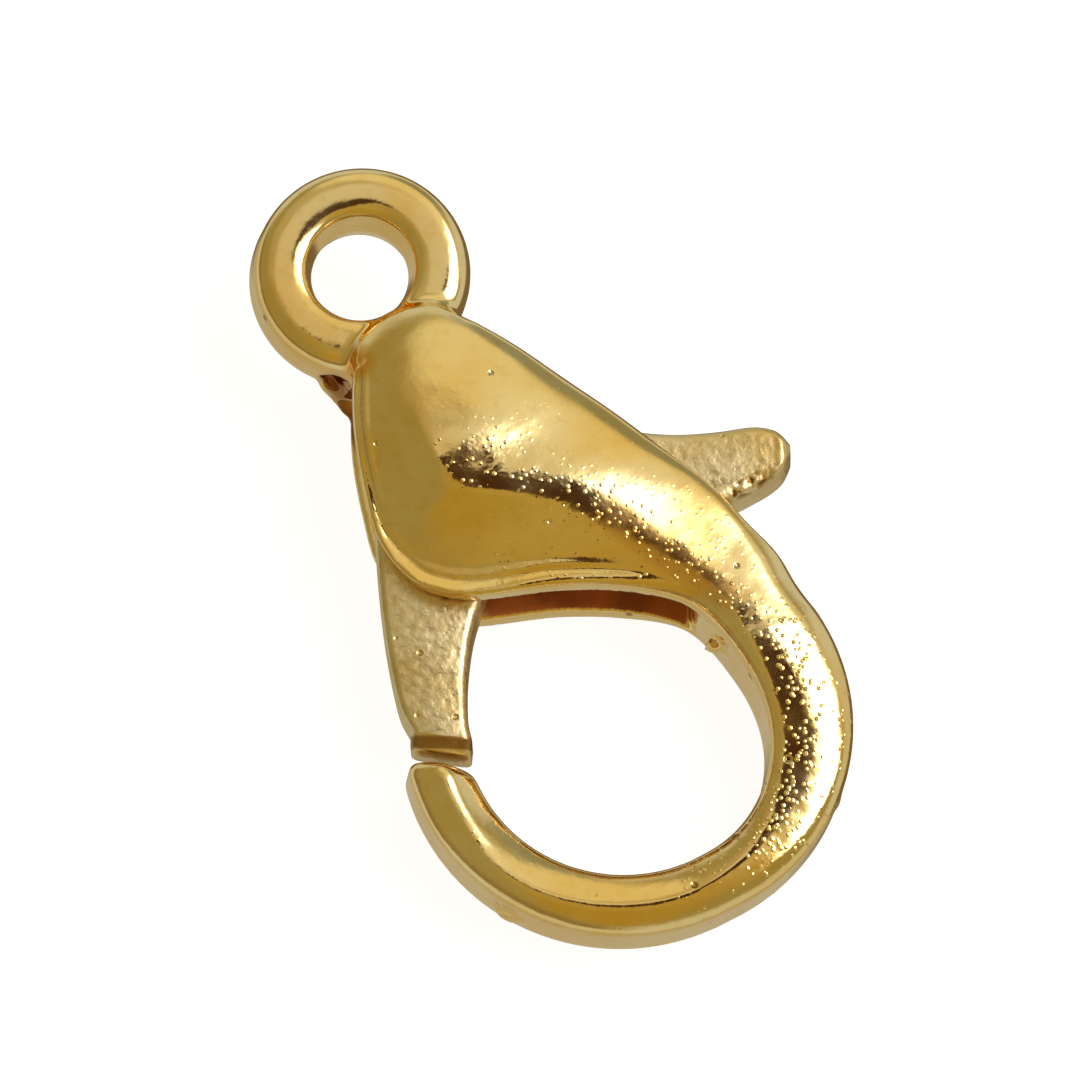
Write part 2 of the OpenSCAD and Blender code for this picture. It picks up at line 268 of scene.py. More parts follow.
# The ring's section is a rounded square, fuller on the outside, turned round the eye
RING_SECTION_POINTS, RING_STEPS = 64, 120
OUTER_FULL, INNER_FULL = 0.58, 0.5
EYE_LIP = 0.05
bpy.ops.object.select_all(action="DESELECT")
bpy.ops.mesh.primitive_circle_add(vertices=RING_SECTION_POINTS, radius=1)
ring = bpy.context.object
for vertex in ring.data.vertices:
    turn = math.atan2(vertex.co.y, vertex.co.x)
    power = OUTER_FULL if math.cos(turn) > 0 else INNER_FULL
    across = math.copysign(abs(math.cos(turn)) ** power, math.cos(turn))
    up = math.copysign(abs(math.sin(turn)) ** power, math.sin(turn))
    vertex.co = (across, 0, up)
edit(ring)
bpy.ops.transform.resize(value=((EYE_D - EYE_BORE) / 4 + EYE_LIP / 2, 1, EYE_T / 2))
bpy.ops.transform.translate(value=((EYE_D + EYE_BORE) / 4 - EYE_LIP / 2, 0, 0))
bpy.ops.mesh.spin(steps=RING_STEPS, angle=2 * math.pi, center=(0, 0, 0), axis=(0, 0, 1))
bpy.ops.mesh.select_all(action="SELECT")
bpy.ops.mesh.remove_doubles(threshold=1e-4)
face_outwards()
combine(casting, "UNION", ring)


def add_lump(piece, operation, place, radii, turn_deg):
    """Adds or digs out an egg-shaped lump, turned about its upright axis."""
    bpy.ops.object.select_all(action="DESELECT")
    bpy.ops.mesh.primitive_uv_sphere_add(segments=32, ring_count=16, radius=1)
    lump = bpy.context.object
    turn = Matrix.Rotation(math.radians(turn_deg), 4, "Z")
    lump.data.transform(Matrix.Translation(place) @ turn @ Matrix.Diagonal((*radii, 1)))
    combine(piece, operation, lump)


# The lower half of the mould left more metal in the left side of the neck, with a small blow hole in it
add_lump(casting, "UNION", (-0.98, -1.4, -0.5), (0.36, 0.85, 0.4), 8)
add_lump(casting, "DIFFERENCE", (-1.19, -1.29, -0.12), (0.14, 0.22, 0.28), 10)
add_lump(casting, "DIFFERENCE", (-1.12, -1.75, -0.2), (0.12, 0.4, 0.22), 6)
# Flash that was not filed off: at the slot's root, at the hook's back, and where the metal was poured
add_lump(casting, "UNION", (1.86, -8.12, 0.1), (0.09, 0.12, 0.25), 20)
add_lump(casting, "UNION", (2.3, -11.28, -0.05), (0.1, 0.14, 0.2), -40)
add_lump(casting, "UNION", (-2.95, -10.32, -0.1), (0.18, 0.3, 0.3), 40)

# The eye opens out from a thin lip of metal left where the two halves of the mould met. The two cones that cut it
# run a little into each other.
FLARE_DEPTH, FLARE_MIDDLE = 0.9, 0.449
for face in (1, -1):
    bpy.ops.object.select_all(action="DESELECT")
    bpy.ops.mesh.primitive_cone_add(
        vertices=ROUND_POINTS, radius1=EYE_BORE / 2 - EYE_LIP, radius2=EYE_BORE / 2 + 2 * EYE_LIP, depth=FLARE_DEPTH,
        location=(0, 0, FLARE_MIDDLE * face), rotation=(0 if face > 0 else math.pi, 0, 0))
    combine(casting, "DIFFERENCE", bpy.context.object)

# The slot runs right through the head from side to side, and from the neck down to a floor. Over the loop it goes
# deeper, with a rounded corner at the right. FAR is clear of the metal on every side.
FAR = 8
DEEP_LEFT, DEEP_RIGHT, DEEP_START = -0.5 * ROOT_INNER_R, 1.74 * ROOT_INNER_R, 0.9
DEEP_CORNER = [(2.2, -7.12), (1.99, -7.27), (1.9, -7.45)]
DEEP_END = 1.87
floor_back, floor_front = SLOT_FLOOR_BACK - REACH, SLOT_FLOOR_FRONT - REACH
slot_outline = [
    (-FAR, 0), (FAR, 0), (FAR, floor_back), (DEEP_RIGHT, floor_back), *DEEP_CORNER, (DEEP_END, floor_front),
    (DEEP_START, floor_front), (DEEP_LEFT, floor_back), (-FAR, floor_back),
]
bpy.ops.object.select_all(action="DESELECT")
bpy.ops.mesh.primitive_circle_add(vertices=len(slot_outline), fill_type="NGON")
slot = bpy.context.object
for vertex, (x, y) in zip(slot.data.vertices, slot_outline):
    vertex.co = (x, y, -SLOT_W / 2)
edit(slot)
bpy.ops.mesh.extrude_region_move(TRANSFORM_OT_translate={"value": (0, 0, SLOT_W)})
face_outwards()
cut_round(slot, EYE_D / 2 + SLOT_NECK, FAR)
combine(casting, "DIFFERENCE", slot)

# The two halves of the mould did not quite meet, so the lower half stands a little off the upper one
MISMATCH, MISMATCH_FADE = Vector((-0.05, 0.06, 0)), 0.04
for vertex in casting.data.vertices:
    vertex.co += MISMATCH * (1 - math.tanh(vertex.co.z / MISMATCH_FADE)) / 2

# The plated metal is one skin, with no edge quite sharp
SKIN_VOXEL, SKIN_PASSES = 0.05, 5
add_modifier(casting, "REMESH", mode="VOXEL", voxel_size=SKIN_VOXEL)
smooth(casting, SKIN_PASSES)

# The ring runs into the head in a soft fillet, clear of the parting line and of the eye
NECK_DOWN, NECK_HALF_W, NECK_HALF_H = 1.42, 1.6, 0.5
NECK_OFF_PARTING, NECK_OFF_EYE = 0.15, 0.25
NECK_PASSES = 40
neck = casting.vertex_groups.new(name="neck")
for vertex in casting.data.vertices:
    x, y, z = vertex.co
    near = 1 - ((x / NECK_HALF_W) ** 2 + ((y + NECK_DOWN) / NECK_HALF_H) ** 2)
    if near > 0 and abs(z) > NECK_OFF_PARTING and math.hypot(x, y) > EYE_BORE / 2 + NECK_OFF_EYE:
        neck.add([vertex.index], min(1, 2 * near), "REPLACE")
smooth(casting, NECK_PASSES, vertex_group="neck")

# A fine rail follows the edge of each cheek, a little way in, and fades at the cheek's lower corner: how far in it
# lies, and how high it stands, at each row of the head. Outside it the edge is bevelled.
RAIL_HALF_W, RAIL_BEVEL, RAIL_WHOLE = 0.07, 0.5, 0.02
RAIL_UPPER_END, RAIL_LOWER_END, RAIL_OFF_SLOT = -1.5, -7.7, 0.05
RAIL_STEPS, RAIL_PASSES = 12, 3
RAIL = [
    [0.18, 0], [0.18, 0.015], [0.18, 0.035], [0.18, 0.05], [0.19, 0.05], [0.22, 0.03], [0.26, 0.02],
    [0.30, 0.04], [0.32, 0.05], [0.32, 0.045], [0.30, 0.02], [0.30, 0.006], [0.30, 0], [0.30, 0],
]
rail_rows = zip(cheek_edge, curve_through(RAIL, HEAD_STEPS))
rail_at = curve_through([[*point, *row] for point, row in rail_rows], RAIL_STEPS)
edge_points = KDTree(len(rail_at))
for i, row in enumerate(rail_at):
    edge_points.insert((row[0], row[1], 0), i)
edge_points.balance()
for vertex in casting.data.vertices:
    x, y, z = vertex.co
    if abs(z) < SLOT_W / 2 + RAIL_OFF_SLOT or not RAIL_LOWER_END <= y <= RAIL_UPPER_END:
        continue
    _, i, off = edge_points.find((x, y, 0))
    inset, high = rail_at[i][2:]
    lift = high * math.exp(-((off - inset) / RAIL_HALF_W) ** 2)
    lift -= RAIL_BEVEL * min(1, high / RAIL_WHOLE) * max(0, inset - off)
    vertex.co.z += math.copysign(lift, z)
smooth(casting, RAIL_PASSES)

# The hinge gives the pin's place, and its axis the two small angles at which the clasp rests on its domes. Every piece
# is modelled flat, in millimetres, the ring towards +Y and the gate towards -X, and is then laid down by them.
MM = 0.001
hinge = frame["joints"][0]
hinge_axis = Vector(hinge["axis"])
rest_turn = Euler((math.asin(-hinge_axis.y), math.atan2(hinge_axis.x, hinge_axis.z), 0)).to_matrix().to_4x4()
pivot = rest_turn.inverted() @ (Vector(hinge["pos_m"]) * (1 / MM))
pivot.z = 0


def lay_down(piece):
    """Turns a finished piece to its rest, in metres, with its place in its mesh."""
    piece.data.transform(Matrix.Scale(MM, 4) @ rest_turn)
    piece.data.update()


# The pin's two blind seats
PIN_POINTS = 64
cut_round(casting, PIN_D / 2 + SEAT_GAP, SLOT_W + 2 * PIN_SEAT, pivot, PIN_POINTS)
bpy.ops.object.shade_smooth()
lay_down(casting)
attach(casting, "clasp")
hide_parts("body")


def new_material(name, colour, roughness, metallic=1.0):
    """A material with its shader's plain values set, and its nodes for the pattern to be added to."""
    material = bpy.data.materials.new(name)
    material.use_nodes = True
    shader = material.node_tree.nodes["Principled BSDF"]
    shader.inputs["Base Color"].default_value = (*colour, 1)
    shader.inputs["Metallic"].default_value = metallic
    shader.inputs["Roughness"].default_value = roughness
    return material, material.node_tree, shader


def add_node(tree, kind, inputs, **settings):
    """Adds a node, and sets its inputs or links them to other nodes."""
    node = tree.nodes.new("ShaderNode" + kind)
    for name, value in settings.items():
        setattr(node, name, value)
    for name, value in inputs.items():
        if isinstance(value, bpy.types.NodeSocket):
            tree.links.new(value, node.inputs[name])
        else:
            node.inputs[name].default_value = value
    return node


def in_millimetres(tree):
    """Places on the piece as it was modelled: flat, and in millimetres."""
    coord = tree.nodes.new("ShaderNodeTexCoord")
    mapping = add_node(tree, "Mapping", {
        "Vector": coord.outputs["Object"], "Scale": (1 / MM, 1 / MM, 1 / MM),
        "Rotation": rest_turn.to_3x3().inverted().to_euler(),
    })
    return mapping.outputs["Vector"]


def ramp(tree, value, low, high, to_low=0.0, to_high=1.0):
    """A value between two limits, spread smoothly from one number to another."""
    return add_node(tree, "MapRange", {
        "Value": value, "From Min": low, "From Max": high, "To Min": to_low, "To Max": to_high,
    }, interpolation_type="SMOOTHSTEP").outputs["Result"]


def fade(tree, value, low, high):
    """One below a lower limit, falling smoothly to nothing at an upper one."""
    return ramp(tree, value, low, high, 1.0, 0.0)


def noise(tree, place, scale, detail=2.0):
    return add_node(tree, "TexNoise", {"Vector": place, "Scale": scale, "Detail": detail}).outputs["Fac"]


def mottle(tree, share, colour_a, colour_b):
    """One colour, a number or another pattern, over another by a share."""
    colour_a = (*colour_a, 1) if isinstance(colour_a, tuple) else colour_a
    colour_b = (*colour_b, 1) if isinstance(colour_b, tuple) else colour_b
    return add_node(tree, "Mix", {"Factor": share, "A": colour_a, "B": colour_b}, data_type="RGBA").outputs["Result"]


def clouds(tree, place, scale, colour_a, colour_b):
    """Two shades that run into each other in soft patches."""
    return mottle(tree, ramp(tree, noise(tree, place, scale, 3.0), 0.35, 0.65), colour_a, colour_b)


def plus(tree, a, b):
    return add_node(tree, "Math", {0: a, 1: b}, operation="ADD").outputs["Value"]


def times(tree, *values):
    """The product of two values or more."""
    product = values[0]
    for value in values[1:]:
        product = add_node(tree, "Math", {0: product, 1: value}, operation="MULTIPLY").outputs["Value"]
    return product


def absolute(tree, value):
    """A value without its sign."""
    return add_node(tree, "Math", {0: value}, operation="ABSOLUTE").outputs["Value"]


def pits(tree, place, scale, inner, outer):
    """One in the middle of scattered round pits."""
    cells = add_node(tree, "TexVoronoi", {"Vector": place, "Scale": scale, "Randomness": 1.0})
    return fade(tree, cells.outputs["Distance"], inner, outer)


def spot_mask(tree, place, centre, radii):
    """One round the middle of an egg-shaped spot, falling to nothing at its edge."""
    off = add_node(tree, "VectorMath", {0: place, 1: centre}, operation="SUBTRACT").outputs["Vector"]
    off = add_node(tree, "VectorMath", {0: off, 1: radii}, operation="DIVIDE").outputs["Vector"]
    length = add_node(tree, "VectorMath", {0: off}, operation="LENGTH").outputs["Value"]
    return fade(tree, length, 0.5, 1.0)


def raised(tree, height, distance, strength=1.0):
    """A surface with a pattern raised on it."""
    inputs = {"Height": height, "Strength": strength, "Distance": distance}
    return add_node(tree, "Bump", inputs).outputs["Normal"]


def pitted(tree, surface, pit, distance):
    """A surface that has a pattern already, with pits sunk into it."""
    inputs = {"Height": pit, "Strength": 1.0, "Distance": distance, "Normal": surface}
    return add_node(tree, "Bump", inputs, invert=True).outputs["Normal"]


def finish_with(piece, material):
    piece.data.materials.clear()
    piece.data.materials.append(material)


# Bright gold plate: paler where it is rubbed, and painted a deeper red brown in the hollows as painted shade, over the
# fine grain of the casting, with a few pits
HOLLOW_REACH = 1.2 * MM
gold, tree, shader = new_material("bright gold plate", (0.92, 0.68, 0.31), 0.14)
place = in_millimetres(tree)
x, y, z = (add_node(tree, "SeparateXYZ", {"Vector": place}).outputs[axis] for axis in "XYZ")
# Ambient occlusion: the hollows, which the colour below darkens as painted shade, and which are also a little rougher
hollow_shade = add_node(tree, "AmbientOcclusion", {"Distance": HOLLOW_REACH}, samples=8, only_local=True).outputs["AO"]
hollow_shade = fade(tree, hollow_shade, 0.25, 0.8)
pit = pits(tree, place, 0.95, 0.03, 0.075)
colour = clouds(tree, place, 0.7, (0.91, 0.64, 0.25), (0.93, 0.73, 0.38))
colour = mottle(tree, ramp(tree, noise(tree, place, 5.0), 0.5, 0.75, 0.0, 0.35), colour, (0.84, 0.54, 0.17))
# Painted shade: the hollows turn red brown
colour = mottle(tree, times(tree, hollow_shade, 0.85), colour, (0.62, 0.23, 0.05))
colour = mottle(tree, times(tree, pit, 0.7), colour, (0.22, 0.1, 0.03))
# Painted shade in the recess at the left side of the neck: orange brown at its top, then dark brown down the lump
# there and round its blow hole: centre, radii, share, colour
NECK_SHADE = [
    [(-0.85, -1.5, 0.75), (0.42, 0.42, 0.6), 0.8, (0.85, 0.42, 0.06)],
    [(-1.25, -1.85, -0.15), (0.35, 0.85, 1.1), 0.9, (0.3, 0.09, 0.02)],
    [(-1.23, -1.23, -0.12), (0.24, 0.34, 0.4), 0.95, (0.25, 0.07, 0.02)],
]
# Each spot is painted shade, darkening the gold towards its own colour
for centre, radii, share, shade_colour in NECK_SHADE:
    colour = mottle(tree, times(tree, spot_mask(tree, place, centre, radii), share), colour, shade_colour)

# The slot's flat walls, below the neck and clear of the lump there, are made dull and painted a dark orange brown as
# shade, with a faint painted glow that stands in for the light thrown to and fro between them
WALL_HALF, WALL_SOFT = 0.7, 0.03
facing = add_node(tree, "SeparateXYZ", {"Vector": add_node(tree, "TexCoord", {}).outputs["Normal"]}).outputs["Z"]
wall = times(
    tree, fade(tree, absolute(tree, z), WALL_HALF - WALL_SOFT, WALL_HALF + WALL_SOFT),
    times(tree, ramp(tree, absolute(tree, facing), 0.85, 0.95), ramp(tree, x, -1.2, -0.8)))
wall = times(tree, wall, fade(tree, y, -2.4, -2.0))
# Painted shade: the dark orange browns of the slot's walls
painted_slot_shade = mottle(tree, ramp(tree, noise(tree, place, 1.1), 0.4, 0.6), (0.2, 0.05, 0.012), (0.42, 0.13, 0.028))
colour = mottle(tree, wall, colour, painted_slot_shade)
tree.links.new(ramp(tree, wall, 0.0, 1.0, 1.0, 0.25), shader.inputs["Metallic"])
# Painted glow: the walls give off a faint orange light of their own
shader.inputs["Emission Color"].default_value = (0.42, 0.1, 0.015, 1)
tree.links.new(times(tree, wall, 0.1), shader.inputs["Emission Strength"])

# The casting's grain is open where the head's ridge runs down into the hook, and on the ridge's upper face the gold
# there is painted deeper, a painted reflection of the dark band along the crest. The ridge is a straight line there,
# and across is the way off it to the right.
RIDGE_LEAN, RIDGE_AT = 0.48, 1.36
across = plus(tree, plus(tree, x, times(tree, y, RIDGE_LEAN)), RIDGE_AT)
ridge_grain_and_dark_band = fade(tree, absolute(tree, across), 0.12, 0.42)
ridge_grain_and_dark_band = times(tree, ridge_grain_and_dark_band, ramp(tree, y, -8.4, -7.6), fade(tree, y, -5.7, -5.2), ramp(tree, z, 0.7, 0.9))
# Painted reflection: the dark band deepens the gold along the ridge
colour = mottle(tree, times(tree, ridge_grain_and_dark_band, 0.7), colour, (0.72, 0.4, 0.11))
tree.links.new(colour, shader.inputs["Base Color"])
gloss = plus(tree, ramp(tree, noise(tree, place, 2.0, 3.0), 0.3, 0.7, 0.07, 0.14), times(tree, hollow_shade, 0.2))
gloss = plus(tree, gloss, times(tree, ridge_grain_and_dark_band, 0.06))
tree.links.new(plus(tree, gloss, times(tree, wall, 0.35)), shader.inputs["Roughness"])

# It is open along the hook's ridge too, which runs round the loop's middle
HOOK_RIDGE_R = 3.0
from_loop = add_node(tree, "VectorMath", {0: place, 1: (0, -REACH, 0)}, operation="DISTANCE").outputs["Value"]
hook_worn = fade(tree, absolute(tree, plus(tree, from_loop, -HOOK_RIDGE_R)), 0.15, 0.35)
hook_worn = times(tree, hook_worn, fade(tree, y, -8.6, -8.0), ramp(tree, x, 0.3, 1.0), ramp(tree, z, 0.6, 0.75))
open_grain = plus(tree, ridge_grain_and_dark_band, hook_worn)

# The grain is small bumps, more of them and higher where it is open, and lower at the head's left and top and past
# the ridge, where the metal is smoother and the light band lies
grains = add_node(tree, "TexVoronoi", {"Vector": place, "Scale": 10.0, "Randomness": 1.0})
few = add_node(tree, "SeparateColor", {"Color": grains.outputs["Color"]}).outputs["Red"]
dots = times(
    tree, fade(tree, grains.outputs["Distance"], 0.0, 0.42),
    plus(tree, ramp(tree, few, 0.4, 0.8), times(tree, open_grain, 0.7)),
    ramp(tree, x, -0.9, -0.4, 0.1, 1.0), ramp(tree, y, -3.4, -3.0, 1.0, 0.2), ramp(tree, y, -7.6, -7.0, 1.4, 1.0),
    ramp(tree, open_grain, 0.0, 1.0, 1.0, 2.2), ramp(tree, across, 0.25, 0.6, 1.0, 0.25))
waves = plus(tree, times(tree, noise(tree, place, 2.2, 1.0), 0.4), times(tree, noise(tree, place, 9.0, 1.0), 0.06))
waves = times(tree, waves, ramp(tree, across, 0.15, 0.5, 1.0, 0.45))
grain = raised(tree, plus(tree, times(tree, dots, 0.17), waves), 0.03 * MM)
tree.links.new(pitted(tree, grain, pit, 0.03 * MM), shader.inputs["Normal"])
finish_with(casting, gold)


# The gate lever.
# A flat lever cast in the same alloy and plated, with a duller, paler face: its gate closes the hook, its hub turns
# on the pin between the cheeks, and its thumb tab stands out at the back.
LEVER_PLAY, LEVER_ROUND, PIN_PLAY = 0.11, 0.15, 0.04
GATE_W, GATE_GAP, HUB_D, TAB_LEN, TAB_W, TAB_DEG = 0.98, 0.19, 2.7, 5.35, 0.9, 25.8
# What is left of the lever's thickness at the tab's rounded end, and the angle from which an edge is sharp
TAB_END_T = 0.75
SHARP_DEG = 40
# Each row is a station along the lever, its inner edge and its outer edge: along and across the gate's own line, as
# shares of its length and width, then an angle round the hub and a share of its diameter, then the tab's own line.
GATE = [
    [[0.88, -0.42], [0.84, 0.72]], [[0.74, -0.37], [0.66, 0.95]],
    [[0.58, -0.42], [0.48, 1.11]], [[0.44, -0.58], [0.3, 1.22]],
]
HUB = [
    [[-99.5, 0.68], [150, 0.5]], [[-91, 0.61], [125, 0.5]], [[-80.5, 0.565], [100, 0.5]],
    [[-67, 0.555], [75, 0.5]], [[-55.5, 0.64], [50, 0.5]],
]
TAB = [
    [[0.37, -0.88], [0.43, 0.62]], [[0.46, -0.88], [0.49, 0.54]], [[0.54, -0.89], [0.55, 0.45]],
    [[0.68, -0.95], [0.66, 0.36]], [[0.8, -0.95], [0.78, 0.36]], [[0.89, -0.74], [0.89, 0.41]],
    [[0.945, -0.56], [0.95, 0.34]], [[0.978, -0.38], [0.978, 0.22]], [[1, -0.14], [1, 0.06]],
]
ROUND_STEPS, LEVER_STEPS = 6, 8
# The gate's end is filed down to a blunt nose: how far from the end, what is left of its half thickness, and of its
# half width
NOSE = [
    [0.0, 0.45, 0.86], [0.02, 0.66, 0.94], [0.05, 0.76, 0.98], [0.09, 0.8, 1.0], [0.24, 0.95, 1.0], [0.27, 0.99, 1.0],
    [0.31, 1.0, 1.0],
]

lever_half_t = SLOT_W / 2 - LEVER_PLAY
tip_outer = on_loop(loop_outer_r(TIP_DEG + TIP_SLANT_DEG), TIP_DEG + TIP_SLANT_DEG)
tip_inner = on_loop(loop_inner_r(TIP_DEG), TIP_DEG)
tip_line = (tip_inner - tip_outer).normalized()
gate_end = (tip_outer + tip_inner) / 2 + GATE_GAP * Vector((-tip_line.y, tip_line.x))
hub = pivot.to_2d()
gate_line = gate_end - hub
gate_ahead = gate_line.normalized()
gate_side = Vector((gate_ahead.y, -gate_ahead.x)) * GATE_W
tab_ahead = Vector((math.cos(math.radians(TAB_DEG)), -math.sin(math.radians(TAB_DEG))))
tab_side = Vector((-tab_ahead.y, tab_ahead.x)) * TAB_W

stations = []
for back, thick, wide in NOSE:
    middle = gate_end - gate_ahead * back
    half = tip_line * GATE_W / 2 * wide
    stations.append([*(middle + half), *(middle - half), thick])
for inner, outer in GATE:
    stations.append([
        *(hub + gate_line * inner[0] + gate_side * inner[1]), *(hub + gate_line * outer[0] + gate_side * outer[1]), 1])
for edges in HUB:
    station = []
    for deg, share in edges:
        station.append(hub.x + math.cos(math.radians(deg)) * share * HUB_D)
        station.append(hub.y + math.sin(math.radians(deg)) * share * HUB_D)
    stations.append([*station, 1])
for inner, outer in TAB:
    stations.append([
        *(hub + tab_ahead * TAB_LEN * inner[0] + tab_side * inner[1]),
        *(hub + tab_ahead * TAB_LEN * outer[0] + tab_side * outer[1]), 1])
stations[-1][4] = TAB_END_T

sections = []
for inner_x, inner_y, outer_x, outer_y, thick in curve_through(stations, LEVER_STEPS):
    inner, outer = Vector((inner_x, inner_y)), Vector((outer_x, outer_y))
    inward = (outer - inner).normalized()
    half_t = lever_half_t * thick
    edge = min(LEVER_ROUND, (outer - inner).length / 3, half_t)
    near = []
    for k in range(ROUND_STEPS + 1):
        turn = math.pi / 2 * (1 - k / ROUND_STEPS)
        place = inward * edge * (1 - math.sin(turn))
        near.append(Vector((place.x, place.y, half_t - edge * (1 - math.cos(turn)))))
    upper = [Vector((inner.x + p.x, inner.y + p.y, p.z)) for p in near]
    upper += [Vector((outer.x - p.x, outer.y - p.y, p.z)) for p in reversed(near)]
    sections.append(upper + [Vector((p.x, p.y, -p.z)) for p in reversed(upper)])
lever = wrap("gate_lever", sections)
cut_round(lever, PIN_D / 2 + PIN_PLAY, FAR, pivot)
bpy.ops.object.shade_smooth_by_angle(angle=math.radians(SHARP_DEG))
lay_down(lever)
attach(lever, "gate")
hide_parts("lever")

# Satin gold plate: cloudy, with more and smaller pits than the casting
satin, tree, shader = new_material("satin gold plate", (0.8, 0.63, 0.36), 0.34)
place = in_millimetres(tree)
pit = pits(tree, place, 2.4, 0.05, 0.15)
colour = clouds(tree, place, 1.1, (0.72, 0.55, 0.27), (0.80, 0.66, 0.40))
colour = mottle(tree, times(tree, pit, 0.5), colour, (0.45, 0.26, 0.08))
# Just behind its end the filed nose has lost its plate and gone brown
from_end = add_node(tree, "VectorMath", {0: place, 1: gate_end.to_3d()}, operation="SUBTRACT").outputs["Vector"]
from_end = add_node(tree, "VectorMath", {
    0: from_end, 1: (-gate_ahead).to_3d()}, operation="DOT_PRODUCT").outputs["Value"]
nose = times(tree, ramp(tree, from_end, 0.06, 0.1), fade(tree, from_end, 0.24, 0.29))
colour = mottle(tree, times(tree, nose, 0.85), colour, (0.3, 0.15, 0.05))
# Deeper gold round the tab's end, and a rough, dirty hollow along its lower edge
rough = spot_mask(tree, place, (3.6, -6.17, 0.53), (0.55, 0.16, 0.4))
scratches = noise(tree, place, 5.5, 1.0)
tab_end = spot_mask(tree, place, (4.35, -5.75, 0.53), (0.5, 0.45, 0.7))
colour = mottle(tree, times(tree, tab_end, 0.6), colour, (0.74, 0.5, 0.18))
colour = mottle(tree, times(tree, rough, ramp(tree, scratches, 0.48, 0.56)), colour, (0.26, 0.12, 0.03))
tree.links.new(colour, shader.inputs["Base Color"])
tree.links.new(ramp(tree, noise(tree, place, 6.0), 0.35, 0.7, 0.26, 0.4), shader.inputs["Roughness"])
waves = plus(tree, noise(tree, place, 9.0, 2.0), noise(tree, place, 3.5, 1.0))
grain = raised(tree, plus(tree, waves, times(tree, rough, scratches, -6.0)), 0.009 * MM)
tree.links.new(pitted(tree, grain, pit, 0.02 * MM), shader.inputs["Normal"])
finish_with(lever, satin)


# The pivot pin.
# A plain steel pin, pressed into blind seats in the two cheeks before they are closed on the lever's hub.
pin_steel, tree, shader = new_material("bright steel", (0.6, 0.58, 0.54), 0.28)
place = in_millimetres(tree)
tree.links.new(clouds(tree, place, 2.0, (0.66, 0.64, 0.6), (0.5, 0.46, 0.4)), shader.inputs["Base Color"])
tree.links.new(raised(tree, noise(tree, place, 14.0), 0.004 * MM, 0.5), shader.inputs["Normal"])
finish_with(frame["nodes"]["pivot_pin"], pin_steel)


# The leaf spring.
# A strip of blued spring steel, folded back on itself under the neck: one leg bears on the neck and the other on the
# lever's shoulder, and it closes a little as the gate opens.
LEAF_T, LEAF_W, LEAF_LEG, LEAF_GAP = 0.12, 0.9, 1.1, 0.05
UPPER_DEG, LOWER_DEG = 14, -31
# The round of the fold, and how much thinner a half of the strip is drawn out there
FOLD_R, FOLD_THINNER, FOLD_STEPS = 0.055, 0.01, 12
# Where each leg's sections stand, from the fold out, what is left of the thickness at its end, and how far the strip's
# edges are rounded
LEG_SHARES = (0.16, 0.3, 0.5, 0.75, 0.98, 1.0)
LEAF_END_T, LEAF_ROUND = 0.6, 0.5
fold = Vector((0, -EYE_D / 2 - SLOT_NECK - LEAF_GAP - LEAF_T))


def pointing(deg):
    return Vector((math.cos(math.radians(deg)), math.sin(math.radians(deg))))


path = []
for away in reversed(LEG_SHARES):
    path.append((fold + pointing(UPPER_DEG) * LEAF_LEG * away, pointing(UPPER_DEG + 90), LEAF_T / 2))
for k in range(FOLD_STEPS + 1):
    deg = mix(UPPER_DEG + 90, LOWER_DEG + 270, k / FOLD_STEPS)
    path.append((fold + pointing(deg) * FOLD_R, pointing(deg), LEAF_T / 2 - FOLD_THINNER))
for away in LEG_SHARES:
    path.append((fold + pointing(LOWER_DEG) * LEAF_LEG * away, pointing(LOWER_DEG - 90), LEAF_T / 2))
sections = []
for i, (middle, side, half_t) in enumerate(path):
    if i in (0, len(path) - 1):
        half_t *= LEAF_END_T
    soft = half_t * LEAF_ROUND
    flat, half_w = half_t - soft, LEAF_W / 2
    upper = []
    for off, height in ((half_t, half_w - soft), (flat, half_w), (-flat, half_w), (-half_t, half_w - soft)):
        upper.append(Vector((*(middle + side * off), height)))
    sections.append(upper + [Vector((p.x, p.y, -p.z)) for p in reversed(upper)])
leaf = wrap("leaf_strip", sections)
bpy.ops.object.shade_smooth_by_angle(angle=math.radians(SHARP_DEG))
lay_down(leaf)
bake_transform(leaf)
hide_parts("leaf_spring")

blued, tree, shader = new_material("spring steel", (0.45, 0.42, 0.38), 0.3)
place = in_millimetres(tree)
tree.links.new(clouds(tree, place, 3.0, (0.5, 0.47, 0.43), (0.3, 0.26, 0.22)), shader.inputs["Base Color"])
tree.links.new(raised(tree, noise(tree, place, 16.0), 0.003 * MM, 0.5), shader.inputs["Normal"])
finish_with(leaf, blued)


# The floor, the light and the camera.
# A white sheet lies under the clasp and a dull tent stands round it, which is what the gold shows. A bright window
# hangs over the right, and next to it a small dark panel, which the crests of the gold show as a dark band.
FLOOR_SIZE = 0.6
bpy.ops.object.select_all(action="DESELECT")
bpy.ops.mesh.primitive_plane_add(size=FLOOR_SIZE, location=(0, 0, cad_low.z))
floor = bpy.context.object
floor.name = "floor"
floor.visible_glossy = False
floor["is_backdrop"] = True
white, tree, shader = new_material("white sheet", (0.3, 0.3, 0.3), 0.9, 0)
shader.inputs["Emission Color"].default_value = (1, 1, 1, 1)
shader.inputs["Emission Strength"].default_value = 0.9
finish_with(floor, white)

world = bpy.data.worlds.new("tent")
bpy.context.scene.world = world
world.use_nodes = True
tree = world.node_tree
tree.nodes.clear()
coord = tree.nodes.new("ShaderNodeTexCoord")


def dot(direction):
    """How far a direction of the light lies along one of the clasp's own directions."""
    along = (rest_turn @ Vector(direction)).normalized()
    light_from = coord.outputs["Generated"]
    return add_node(tree, "VectorMath", {0: light_from, 1: along}, operation="DOT_PRODUCT").outputs["Value"]


